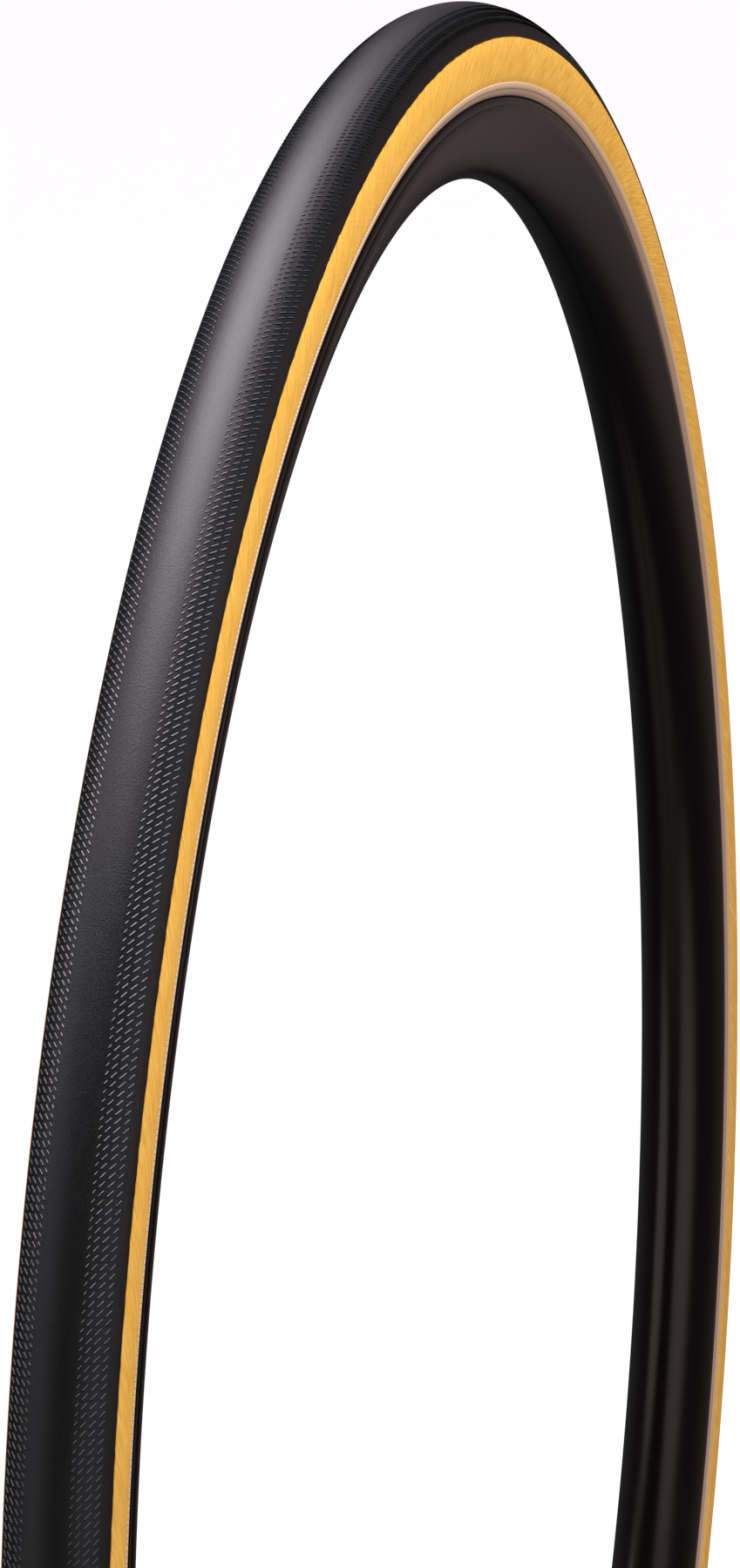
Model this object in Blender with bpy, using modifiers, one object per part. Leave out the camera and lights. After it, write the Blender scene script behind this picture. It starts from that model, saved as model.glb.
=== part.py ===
"""A 700 x 26C bicycle tyre, inflated on its rim, with its inner tube and Presta valve.

The wheel's centre is the origin, its axle lies along Y, and +Z is up. The valve is at the
bottom of the wheel. A place in the section of the tyre or rim is (radius from the axle,
distance from the wheel's middle plane), and a place on the valve is (radius from the valve's
axis, level), where a level is the distance below the axle.
"""

import math

import bpy

MM = 0.001

# Driving dimensions, in millimetres.
SEGMENTS = 36  # facets round the wheel, with one facet centred at the bottom
BEAD_SEAT = 311.0  # radius of the 622 mm bead seat
SECTION_RADIUS = 13.0  # half of the inflated width
SECTION_CENTRE = 323.5  # radius of the circle that the section is centred on
LOWER_HEIGHT = 14.5  # height of the squarer quarter below the section's widest place
LOWER_POWER = 2.0 / 3.0
TREAD_EDGE = 68.2  # degrees from the crown to the tread's edge
BELT_EDGE = 36.0  # degrees from the crown to the belt's edge
CROWN_TREAD = 2.3
EDGE_TREAD = 0.5
BELT_THICKNESS = 0.5
OUTER_PLY = 0.55
INNER_PLY = 0.45
SIDEWALL_DEPTH = 0.2  # the sidewall's face lies this far inside the tread's face
LAYER_GAP = 0.15
CROWN_FLAT = 9  # degrees from the crown to the edge of the flat facet on it
SIDEWALL_END = 113  # degrees from the crown to where the casing turns in to the bead
CHAFER_EDGE = 109  # degrees from the crown to the chafer's upper edge
HEEL = 9.0  # distance of the bead's heel from the wheel's middle plane
TOE = 7.15  # distance of the casing's folded edge from the wheel's middle plane
FOOT_THICKNESS = 0.4
BEAD_RADIUS = 0.65
CHAFER_THICKNESS = 0.66
CHAFER_DEPTH = 0.5  # the casing under the chafer lies this far inside the tyre's outer face
TUBE_HALF_WIDTH = 10.9
TUBE_TAPER = 0.2  # how much narrower the tube is at its bottom than an ellipse
TUBE_ABOVE = 8.4  # height of the inflated tube above and below its widest place
TUBE_BELOW = 13.1
TUBE_WALL = 0.8

RIM_LIP = 313.4
LIP_HALF_WIDTH = 11.4
RIM_HALF_WIDTH = 12.2
RIM_WIDEST = 309.6
ARCH_TOP = 314.2  # radius that the arch of the rim's side would start from
ARCH_HALF_WIDTH = 13.0
RIM_BED = 292.9  # radius of the face that looks at the axle
RIM_BED_HALF_WIDTH = 2.2
RIM_WALL = 1.6
FLANGE_THICKNESS = 1.3
WELL_FLOOR = 308.2
WELL_HALF_WIDTH = 5.0
SEAT_HALF_WIDTH = 6.1

STEM_RADIUS = 3.0
STEM_BORE = 1.95
STEM_FLANGE = 3.9
STEM_TOP = 314.0
STEM_END = 277.0
CORE_COLLAR = 2.4
CORE_BORE = 0.95
PIN_RADIUS = 0.75
TIP_RADIUS = 2.0
CAP_RADIUS = 4.0
NUT_RADIUS = 5.0
CLEARANCE = 0.3

# Places that follow from those.
SEAT_FACE = BEAD_SEAT - 0.05
FOOT_BOTTOM = BEAD_SEAT + CLEARANCE
FOOT_TOP = FOOT_BOTTOM + FOOT_THICKNESS
PASSAGE_RADIUS = STEM_RADIUS + CLEARANCE
CORE_SHANK = STEM_BORE - CLEARANCE
CORE_FAR = STEM_END + 11.0
FACET = 1.0 / math.cos(math.pi / SEGMENTS)  # puts each facet, not each corner, at its radius


def new_collection(name, hidden=False):
    collection = bpy.data.collections.new(name)
    bpy.context.scene.collection.children.link(collection)
    collection.hide_render = hidden
    return collection


def material(name, color, roughness, metallic=0.0):
    made = bpy.data.materials.new(name)
    made.use_nodes = True
    shader = made.node_tree.nodes["Principled BSDF"]
    shader.inputs["Base Color"].default_value = (*color, 1.0)
    shader.inputs["Roughness"].default_value = roughness
    shader.inputs["Metallic"].default_value = metallic
    return made


# Shapes ---------------------------------------------------------------------------------


def profile_mesh(name, loops, closed):
    """Edges through each loop of (radius, height) points, in the XZ plane, in metres."""
    points = []
    edges = []
    for loop in loops:
        first = len(points)
        points += [(radius * MM, 0.0, height * MM) for radius, height in loop]
        edges += [(i, i + 1) for i in range(first, len(points) - 1)]
        if closed:
            edges.append((len(points) - 1, first))
    mesh = bpy.data.meshes.new(name)
    mesh.from_pydata(points, edges, [])
    return mesh


def turned(name, loops, steps, surface, closed=True):
    """Loops turned about Z. Each runs down its outer side, or up it for a hollow inside."""
    piece = bpy.data.objects.new(name, profile_mesh(name, loops, closed))
    PARTS.objects.link(piece)
    screw = piece.modifiers.new("Turn", "SCREW")
    screw.axis = "Z"
    screw.steps = steps
    screw.render_steps = steps
    screw.use_merge_vertices = not closed
    screw.merge_threshold = 0.00001
    screw.use_smooth_shade = True
    piece.data.materials.append(surface)
    return piece


def hoop(name, loops, surface):
    """A ring round the wheel, from loops of (radius, side) points in its section."""
    widened = [[(radius * FACET, side) for radius, side in loop] for loop in loops]
    piece = turned(name, widened, SEGMENTS, surface)
    piece.rotation_euler = (math.pi / 2, math.pi / SEGMENTS, 0.0)
    return piece


def on_valve(name, points, steps, surface, origin, closed=True):
    """A piece turned about the valve's axis, from (radius, level) points.

    The points run away from the axle down the outer side, so levels grow along it.
    """
    local = [(radius, origin - level) for radius, level in points]
    piece = turned(name, [local], steps, surface, closed)
    piece.location.z = -origin * MM
    return piece


def tube_points(inner, outer, near, far):
    """A plain sleeve on the valve, from the level near the axle to the far one."""
    return [(outer, near), (outer, far), (inner, far), (inner, near)]


def cut_hole(piece, radius, near, far):
    """Bores a round hole along the valve's axis, between two levels."""
    bpy.ops.mesh.primitive_cylinder_add(
        vertices=24,
        radius=radius * MM,
        depth=(far - near) * MM,
        location=(0.0, 0.0, -0.5 * (near + far) * MM),
    )
    cutter = bpy.context.object
    cutter.name = f"{piece.name}_cutter_{round(near)}"
    for collection in cutter.users_collection:
        collection.objects.unlink(cutter)
    CUTTERS.objects.link(cutter)
    cutter.hide_render = True
    cutter.display_type = "WIRE"
    hole = piece.modifiers.new("Valve hole", "BOOLEAN")
    hole.operation = "DIFFERENCE"
    hole.solver = "EXACT"
    hole.object = cutter


# The tyre's section ---------------------------------------------------------------------


def section_point(depth, degrees):
    """A point that lies depth inside the tyre's outer face, at an angle from the crown."""
    angle = math.radians(degrees)
    side = (SECTION_RADIUS - depth) * math.sin(angle)
    if abs(degrees) <= 90:
        return SECTION_CENTRE + (SECTION_RADIUS - depth) * math.cos(angle), side
    fall = abs(math.cos(angle)) ** LOWER_POWER
    return SECTION_CENTRE - (LOWER_HEIGHT - depth) * fall, side


def tread_thickness(degrees):
    fall = math.cos(0.5 * math.pi * min(abs(degrees) / TREAD_EDGE, 1.0))
    return EDGE_TREAD + (CROWN_TREAD - EDGE_TREAD) * fall


def ply_depth(degrees):
    """How far the outer ply lies below the tyre's outer face."""
    if abs(degrees) > CHAFER_EDGE:
        return CHAFER_DEPTH
    if abs(degrees) > TREAD_EDGE:
        return SIDEWALL_DEPTH
    below_tread = tread_thickness(degrees) + LAYER_GAP
    under_belt = abs(degrees) <= BELT_EDGE + 4.0
    return below_tread + (BELT_THICKNESS + LAYER_GAP if under_belt else 0.0)


def both_sides(half):
    """Points from the negative side to the positive one, given the positive half."""
    return [(radius, -side) for radius, side in reversed(half)] + half


def sheet(outer_half, inner_half):
    """The closed loop between an outer and an inner face, each given as its positive half."""
    return list(reversed(both_sides(outer_half))) + both_sides(inner_half)


def mirrored(loop):
    """The same loop on the wheel's other side, running the same way round."""
    return [(radius, -side) for radius, side in reversed(loop)]


def tread_cap():
    outer = [section_point(0.0, a) for a in (CROWN_FLAT, 29, 49, TREAD_EDGE)]
    inner_angles = (CROWN_FLAT, BELT_EDGE, 52, TREAD_EDGE - 1)
    inner = [section_point(tread_thickness(a), a) for a in inner_angles]
    hoop("tread_cap", [sheet(outer, inner)], RUBBER)


def puncture_belt():
    top = []
    under = []
    for angle in (CROWN_FLAT, BELT_EDGE):
        depth = tread_thickness(angle) + LAYER_GAP
        top.append(section_point(depth, angle))
        under.append(section_point(depth + BELT_THICKNESS, angle))
    hoop("puncture_belt", [sheet(top, under)], BELT_CLOTH)


UNDER_TREAD = (CROWN_FLAT, BELT_EDGE + 3, BELT_EDGE + 9, TREAD_EDGE)
SIDEWALL = (92, 104, SIDEWALL_END)


def outer_casing_ply():
    """Runs from bead to bead and folds under both bead cores."""
    angles = (*UNDER_TREAD, TREAD_EDGE + 6, *SIDEWALL)
    outer = [section_point(ply_depth(a), a) for a in angles]
    outer += [(FOOT_BOTTOM + 3.45, HEEL + 1.15), (FOOT_BOTTOM + 2.4, HEEL + 0.1)]
    outer += [(FOOT_BOTTOM, HEEL), (FOOT_BOTTOM, TOE)]
    inner = [section_point(ply_depth(a) + OUTER_PLY, a) for a in angles]
    inner += [(FOOT_TOP + 3.45, HEEL + 0.8), (FOOT_TOP + 2.3, HEEL - 0.35)]
    inner += [(FOOT_TOP, HEEL - 0.5), (FOOT_TOP, TOE)]
    hoop("outer_casing_ply", [sheet(outer, inner)], COTTON)


def inner_casing_ply():
    """Runs inside the outer ply, and passes both bead cores on their inner side."""
    depth = OUTER_PLY + LAYER_GAP
    bottom = BEAD_SEAT + 0.5
    angles = (*UNDER_TREAD, *SIDEWALL)
    outer = [section_point(ply_depth(a) + depth, a) for a in angles]
    outer += [(bottom + 3.5, TOE + 2.2), (bottom + 2.1, TOE - 0.2), (bottom, TOE - 0.4)]
    inner = [section_point(ply_depth(a) + depth + INNER_PLY, a) for a in angles]
    inner += [(bottom + 3.8, TOE + 1.9), (bottom + 2.3, TOE - 0.65), (bottom, TOE - 0.85)]
    hoop("inner_casing_ply", [sheet(outer, inner)], PLY_CLOTH)


def bead_cores():
    """A hoop of stiff cord in each edge of the casing."""
    radius = FOOT_TOP + LAYER_GAP + BEAD_RADIUS
    side = HEEL - 0.5 - LAYER_GAP - BEAD_RADIUS
    loop = []
    for step in range(6):
        angle = -math.radians(60 * step)
        corner = (BEAD_RADIUS * math.cos(angle), BEAD_RADIUS * math.sin(angle))
        loop.append((radius + corner[0], side + corner[1]))
    hoop("right_bead_core", [loop], ARAMID)
    hoop("left_bead_core", [mirrored(loop)], ARAMID)


def chafer_strips():
    """The woven strip outside each bead, which the rim's flange would rub."""
    back_side = HEEL + LAYER_GAP
    face_side = back_side + CHAFER_THICKNESS
    bottom = FOOT_BOTTOM + 0.05
    face = [
        section_point(0.05, CHAFER_EDGE),
        section_point(0.0, CHAFER_EDGE + 7),
        (bottom + 3.0, face_side + 0.8),
        (bottom + 2.15, face_side + 0.05),
        (bottom, face_side),
    ]
    back = [
        (bottom, back_side),
        (bottom + 2.28, back_side + 0.12),
        (bottom + 3.29, back_side + 1.1),
        (bottom + 4.58, back_side + 2.49),
        (bottom + 5.22, back_side + 2.84),
    ]
    loop = list(reversed(face + back))
    hoop("right_chafer_strip", [loop], TAN_CLOTH)
    hoop("left_chafer_strip", [mirrored(loop)], TAN_CLOTH)


def tube_section(inset):
    """The inflated tube's section: two half ellipses, the lower one drawn in to the rim."""
    count = 12
    half_width = TUBE_HALF_WIDTH - inset
    loop = []
    for step in range(count):
        angle = -2 * math.pi * (step + 0.5) / count
        rise = math.cos(angle)
        height = (TUBE_ABOVE if rise > 0 else TUBE_BELOW) - inset
        side = half_width * math.sin(angle) * (1.0 + TUBE_TAPER * min(rise, 0.0))
        loop.append((SECTION_CENTRE + height * rise, side))
    return loop


def inner_tube():
    """A hollow rubber ring, which the valve's hole opens."""
    loops = [tube_section(0.0), list(reversed(tube_section(TUBE_WALL)))]
    tube = hoop("inner_tube", loops, TUBE_RUBBER)
    cut_hole(tube, PASSAGE_RADIUS, WELL_FLOOR, SECTION_CENTRE)


# The rim --------------------------------------------------------------------------------


def rim_side(degrees):
    """A point on the arch of the rim's side, which reaches the bed's middle at 90 degrees."""
    angle = math.radians(degrees)
    drop = math.sin(angle) ** 1.14
    pinch = 0.557 * math.sin(math.pi * drop)  # the side is a little flatter than an ellipse
    return ARCH_TOP - (ARCH_TOP - RIM_BED) * drop, ARCH_HALF_WIDTH * math.cos(angle) - pinch


def rim_body():
    flange = LIP_HALF_WIDTH - FLANGE_THICKNESS
    inside = [
        (WELL_FLOOR, WELL_HALF_WIDTH),
        (SEAT_FACE, SEAT_HALF_WIDTH),
        (SEAT_FACE, flange),
        (RIM_LIP - 0.6, flange),
        (RIM_LIP, LIP_HALF_WIDTH - 0.5 * FLANGE_THICKNESS),
        (RIM_LIP - 0.6, LIP_HALF_WIDTH),
        (RIM_WIDEST, RIM_HALF_WIDTH),
    ]
    outside = [rim_side(a) for a in (22, 44, 64)]
    outside.append((RIM_BED, RIM_BED_HALF_WIDTH))
    skin = list(reversed(both_sides(inside + outside)))
    rim = hoop("rim_body", [skin, cavity_loop()], BLACK_SATIN)
    cut_hole(rim, PASSAGE_RADIUS + 0.9, WELL_FLOOR - 3.0, RIM_LIP)
    cut_hole(rim, PASSAGE_RADIUS, RIM_BED - 3.0, RIM_BED + 6.0)


def cavity_loop():
    """The hollow between the well, the sides and the bed."""
    under_seat = SEAT_FACE - RIM_WALL
    half = [(WELL_FLOOR - 1.4, WELL_HALF_WIDTH + 0.2), (under_seat, SEAT_HALF_WIDTH + 0.7)]
    for degrees in (14, 38, 62):
        radius, side = rim_side(degrees)
        half.append((min(radius + 0.2, under_seat), side - RIM_WALL))
    half.append((RIM_BED + RIM_WALL, RIM_BED_HALF_WIDTH))
    return both_sides(half)


def rim_tape():
    near = WELL_FLOOR + LAYER_GAP
    far = near + 0.5
    side = WELL_HALF_WIDTH - 0.4
    loop = [(far, side), (far, -side), (near, -side), (near, side)]
    tape = hoop("rim_tape", [loop], TAPE)
    cut_hole(tape, PASSAGE_RADIUS, WELL_FLOOR - 2.0, BEAD_SEAT + 2.0)


# The valve ------------------------------------------------------------------------------


def valve_body():
    """The pieces that stay with the tube: patch, stem, core and the core's seal."""
    patch = tube_points(PASSAGE_RADIUS, 4.9, WELL_FLOOR + 0.85, WELL_FLOOR + 2.2)
    on_valve("valve_base_patch", patch, 24, TUBE_RUBBER, WELL_FLOOR)

    flange_under = STEM_TOP - 0.6
    stem = [
        (STEM_RADIUS, STEM_END),
        (STEM_RADIUS, flange_under),
        (STEM_FLANGE, flange_under),
        (STEM_FLANGE, STEM_TOP),
        (STEM_BORE, STEM_TOP),
        (STEM_BORE, STEM_END),
    ]
    on_valve("valve_stem", stem, 24, BRIGHT_METAL, STEM_END)

    collar_near = STEM_END - 3.5
    collar_far = STEM_END - 0.9
    core = [
        (CORE_COLLAR, collar_near),
        (CORE_COLLAR, collar_far),
        (CORE_SHANK, collar_far),
        (CORE_SHANK, CORE_FAR),
        (CORE_BORE, CORE_FAR),
        (CORE_BORE, collar_near),
    ]
    on_valve("valve_core_body", core, 20, BRASS, STEM_END)

    seal = tube_points(CORE_SHANK + 0.1, CORE_COLLAR, STEM_END - 0.75, STEM_END - 0.15)
    on_valve("valve_core_seal", seal, 20, SEAL_RUBBER, STEM_END)


def plunger():
    """The pin that a pump pushes in, with its head, and the seal that the head carries."""
    head_near = CORE_FAR + 1.1
    pin = [
        (0.0, STEM_END - 10.4),
        (1.1, STEM_END - 10.2),
        (1.1, STEM_END - 9.8),
        (PIN_RADIUS, STEM_END - 9.6),
        (PIN_RADIUS, head_near),
        (1.35, head_near),
        (1.35, head_near + 0.8),
        (0.0, head_near + 0.8),
    ]
    on_valve("valve_plunger", pin, 16, BRASS, STEM_END, closed=False)
    seal = tube_points(PIN_RADIUS + 0.15, 1.5, CORE_FAR + 0.3, CORE_FAR + 0.8)
    on_valve("valve_plunger_seal", seal, 16, SEAL_RUBBER, STEM_END)


def lock_tip():
    """The nut on the plunger's end, open far enough for the plunger to be pressed."""
    near = STEM_END - 8.4
    far = STEM_END - 5.3
    tip = [
        (TIP_RADIUS - 0.5, near),
        (TIP_RADIUS, near + 0.5),
        (TIP_RADIUS, far),
        (PIN_RADIUS + 0.15, far),
        (PIN_RADIUS + 0.15, near),
    ]
    on_valve("valve_lock_tip", tip, 12, BRASS, STEM_END)


def valve_cap():
    mouth = STEM_END + 4.5
    top = STEM_END - 14.0
    inner = PASSAGE_RADIUS
    cap = [
        (0.0, top),
        (1.6, top),
        (2.4, top + 0.6),
        (CAP_RADIUS - 1.1, top + 5.0),
        (CAP_RADIUS, top + 7.0),
        (CAP_RADIUS, mouth),
        (inner, mouth),
        (inner, top + 8.0),
        (2.4, top + 7.0),
        (2.4, top + 5.4),
        (TIP_RADIUS - 0.2, top + 1.4),
        (0.0, top + 1.4),
    ]
    on_valve("valve_cap", cap, 24, CAP_PLASTIC, mouth, closed=False)


def rim_nut_and_washer():
    """The ring nut that holds the stem to the rim, and the washer under it."""
    washer_far = RIM_BED - 0.35
    washer = tube_points(PASSAGE_RADIUS + 0.1, NUT_RADIUS + 0.2, washer_far - 1.0, washer_far)
    on_valve("valve_rim_washer", washer, 24, SEAL_RUBBER, washer_far)
    nut_far = washer_far - 1.3
    nut_near = nut_far - 2.6
    nut = [
        (NUT_RADIUS - 0.5, nut_near),
        (NUT_RADIUS, nut_near + 0.5),
        (NUT_RADIUS, nut_far),
        (PASSAGE_RADIUS, nut_far),
        (PASSAGE_RADIUS, nut_near),
    ]
    on_valve("valve_rim_nut", nut, 18, BRIGHT_METAL, nut_far)


for leftover in list(bpy.data.objects):
    bpy.data.objects.remove(leftover)

PARTS = new_collection("bicycle_tyre")
CUTTERS = new_collection("cutters", hidden=True)

RUBBER = material("tread_rubber", (0.018, 0.018, 0.020), 0.55)
BELT_CLOTH = material("belt_cloth", (0.55, 0.50, 0.30), 0.8)
COTTON = material("amber_cotton", (0.72, 0.42, 0.11), 0.6)
PLY_CLOTH = material("ply_cloth", (0.62, 0.50, 0.32), 0.8)
TAN_CLOTH = material("chafer_weave", (0.47, 0.33, 0.23), 0.85)
ARAMID = material("bead_cord", (0.70, 0.60, 0.25), 0.7)
TUBE_RUBBER = material("tube_rubber", (0.03, 0.03, 0.03), 0.6)
SEAL_RUBBER = material("seal_rubber", (0.02, 0.02, 0.02), 0.7)
TAPE = material("rim_tape_cloth", (0.10, 0.20, 0.42), 0.7)
BLACK_SATIN = material("rim_black", (0.012, 0.011, 0.011), 0.35)
BRIGHT_METAL = material("valve_metal", (0.75, 0.75, 0.76), 0.25, 1.0)
BRASS = material("core_brass", (0.78, 0.60, 0.30), 0.3, 1.0)
CAP_PLASTIC = material("cap_plastic", (0.02, 0.02, 0.02), 0.4)

tread_cap()
puncture_belt()
outer_casing_ply()
inner_casing_ply()
bead_cores()
chafer_strips()
inner_tube()
rim_body()
rim_tape()
valve_body()
plunger()
lock_tip()
valve_cap()
rim_nut_and_washer()
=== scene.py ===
"""The looks of an inflated 700 x 26C road tyre on its rim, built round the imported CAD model.

The wheel's centre is the origin, its axle lies along Y, and +Z is up. A place in the section
of the tyre or rim is (radius from the axle, distance from the wheel's middle plane). Angles
in the section are measured from the crown: negative on the -Y side, which is the near side.
Lengths are in millimetres until a mesh is made.
"""

import math

import bmesh
import bpy
import numpy as np
from mathutils import Matrix, Vector


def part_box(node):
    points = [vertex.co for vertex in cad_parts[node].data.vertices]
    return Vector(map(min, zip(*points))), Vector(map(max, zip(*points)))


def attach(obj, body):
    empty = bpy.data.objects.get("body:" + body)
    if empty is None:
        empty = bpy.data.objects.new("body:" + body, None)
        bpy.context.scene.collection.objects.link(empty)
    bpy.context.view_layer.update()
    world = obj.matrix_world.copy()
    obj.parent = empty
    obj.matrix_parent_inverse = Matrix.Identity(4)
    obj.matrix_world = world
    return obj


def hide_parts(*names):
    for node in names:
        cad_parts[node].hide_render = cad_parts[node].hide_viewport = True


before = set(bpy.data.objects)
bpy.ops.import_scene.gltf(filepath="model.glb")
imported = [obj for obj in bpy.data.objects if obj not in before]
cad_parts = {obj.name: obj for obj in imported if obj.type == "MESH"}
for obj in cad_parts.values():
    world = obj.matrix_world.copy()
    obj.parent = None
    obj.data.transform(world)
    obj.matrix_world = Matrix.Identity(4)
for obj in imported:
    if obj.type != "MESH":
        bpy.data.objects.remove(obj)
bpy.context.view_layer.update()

MM = 0.001
TURN = 2.0 * math.pi

# The tyre's section.
OUTER_RADIUS = 336.5
SECTION_RADIUS = 13.0
SECTION_CENTRE = OUTER_RADIUS - SECTION_RADIUS
LOWER_HEIGHT = 14.5
LOWER_POWER = 2.0 / 3.0
BEAD_SEAT = 311.0
SIDEWALL_DEPTH = 0.22
CHAFER_EDGE = 108.0

# The tread.
COLUMNS = 1089  # marks in one row, round the wheel
PATTERN_CENTRE = 2.0  # the pattern sits a little towards the far side
ROW_EDGES = (21.8, 27.4, 35.6, 45.4, 54.8)
ROW_MIDDLES = (24.75, 31.5, 40.4, 50.0)
ROW_SIZES = ((0.8, 0.6), (1.25, 1.1), (1.4, 1.4), (1.25, 1.25))  # along, across
ROW_SHIFTS = (-0.04, 0.17, 0.0, -0.15)
NEAR_EDGE = 70.2
FAR_EDGE = 60.5
CROWN_TREAD = 2.3
EDGE_TREAD = 0.5
LEAST_TREAD = 0.65  # the plain edge is no thinner than this
TREAD_LIP = ((1.6, 0.03), (0.8, 0.11), (0.2, 0.24), (0.0, 0.36), (0.0, 0.6))  # back, depth
CENTRE_STEP_DEPTH = 0.4  # how far under the shoulders the centre band's edges run
MARK_SET_BACK = 0.14  # how far a mark lies behind its cell's middle

# What the tread lies on.
LAYER_GAP = 0.15
BELT_EDGE = 36.0
BELT_THICKNESS = 0.5
OUTER_PLY = 0.55
INNER_PLY = 0.45
CHAFER_DEPTH = 0.5  # the casing under the chafer lies this far inside the tyre's outer face
TREAD_SEAT_START = 60.0
TREAD_SEAT_EDGE = 69.5  # past this angle the casing's face lies at the sidewall's depth
SIDEWALL_END = 113.0
BEAD_PLACE = (312.5, 7.7)
BEAD_RADIUS = 0.65
TUBE_HALF_WIDTH = 10.9
TUBE_TAPER = 0.2  # how much narrower the tube is at its bottom than an ellipse
TUBE_ABOVE = 8.4
TUBE_BELOW = 13.1
TUBE_WALL = 0.8

# The rim.
RIM_BED = 292.9
ARCH_TOP = 314.2
ARCH_HALF_WIDTH = 13.0
RIM_LIP = 313.4
LIP_HALF_WIDTH = 11.4
FLANGE_THICKNESS = 1.3
RIM_WALL = 1.6
WELL_FLOOR = 308.2
WELL_HALF_WIDTH = 5.0
WELL_THICKNESS = 1.4
SEAT_HALF_WIDTH = 6.1
SEAT_FACE = BEAD_SEAT - 0.05
HOLLOW_TOP = 309.35
TAPE_HALF_WIDTH = 4.6
TAPE_THICKNESS = 0.5

# The valve, as levels below the axle.
STEM_RADIUS = 3.0
STEM_BORE = 1.95
STEM_END = 277.0
STEM_TOP = 314.0
STEM_FLANGE = 3.9
PASSAGE_RADIUS = 3.3
CORE_COLLAR = 2.4
CORE_BORE = 0.95
PIN_RADIUS = 0.75
TIP_RADIUS = 2.0
CAP_RADIUS = 4.0
CAP_ABOVE = 14.0  # from the stem's end to the cap's top
NUT_RADIUS = 5.0
WASHER_RADIUS = 5.2


# Meshes ---------------------------------------------------------------------------------


def add_piece(name, points, faces, material, body, nodes):
    """A smooth mesh from points in millimetres, riding on a body in place of CAD nodes."""
    mesh = bpy.data.meshes.new(name)
    mesh.from_pydata((np.asarray(points) * MM).tolist(), [], faces)
    mesh.validate()
    mesh.shade_smooth()
    mesh.set_sharp_from_angle(angle=math.radians(32.0))
    mesh.materials.append(material)
    piece = bpy.data.objects.new(name, mesh)
    bpy.context.scene.collection.objects.link(piece)
    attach(piece, body)
    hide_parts(*nodes)
    return piece


def wheel_point(radius, side, phi):
    """Arrays of places in the section, turned by phi round the axle."""
    return np.stack([radius * np.cos(phi), side + 0.0 * phi, radius * np.sin(phi)], axis=-1)


def grid_faces(rows, columns):
    """Quads of a grid whose rows close into a section and whose columns close round the wheel."""
    faces = []
    for row in range(rows):
        start = row * columns
        above = ((row + 1) % rows) * columns
        for column in range(columns):
            after = (column + 1) % columns
            faces.append((start + column, above + column, above + after, start + after))
    return faces


def ring_mesh(profile, segments):
    """Points and faces of a closed section loop turned round the axle."""
    section = np.array(profile)
    phi = np.arange(segments) * TURN / segments
    points = wheel_point(section[:, :1], section[:, 1:], phi[None, :]).reshape(-1, 3)
    return points, grid_faces(len(section), segments)


def add_ring(name, profile, segments, material, nodes):
    points, faces = ring_mesh(profile, segments)
    return add_piece(name, points, faces, material, "wheel", nodes)


def both_sides(half):
    return [(radius, -side) for radius, side in reversed(half)] + half


def sheet(outer_half, inner_half):
    """The loop between an outer and an inner face, each given as its positive half."""
    return both_sides(outer_half) + list(reversed(both_sides(inner_half)))


def bore(piece, radius, near, far):
    """Cuts a round hole along the valve's axis, between two levels below the axle."""
    cutter_mesh = bpy.data.meshes.new("cutter")
    shape = bmesh.new()
    place = Matrix.Translation((0.0, 0.0, -0.5 * (near + far) * MM))
    bmesh.ops.create_cone(
        shape, cap_ends=True, segments=48, radius1=radius * MM, radius2=radius * MM,
        depth=(far - near) * MM, matrix=place,
    )
    shape.to_mesh(cutter_mesh)
    shape.free()
    cutter = bpy.data.objects.new("cutter", cutter_mesh)
    bpy.context.scene.collection.objects.link(cutter)
    cut = piece.modifiers.new("Bore", "BOOLEAN")
    cut.operation = "DIFFERENCE"
    cut.solver = "EXACT"
    cut.object = cutter
    evaluated = piece.evaluated_get(bpy.context.evaluated_depsgraph_get())
    made = bpy.data.meshes.new_from_object(evaluated)
    piece.modifiers.clear()
    piece.data = made
    bpy.data.objects.remove(cutter)


# Materials ------------------------------------------------------------------------------


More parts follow.
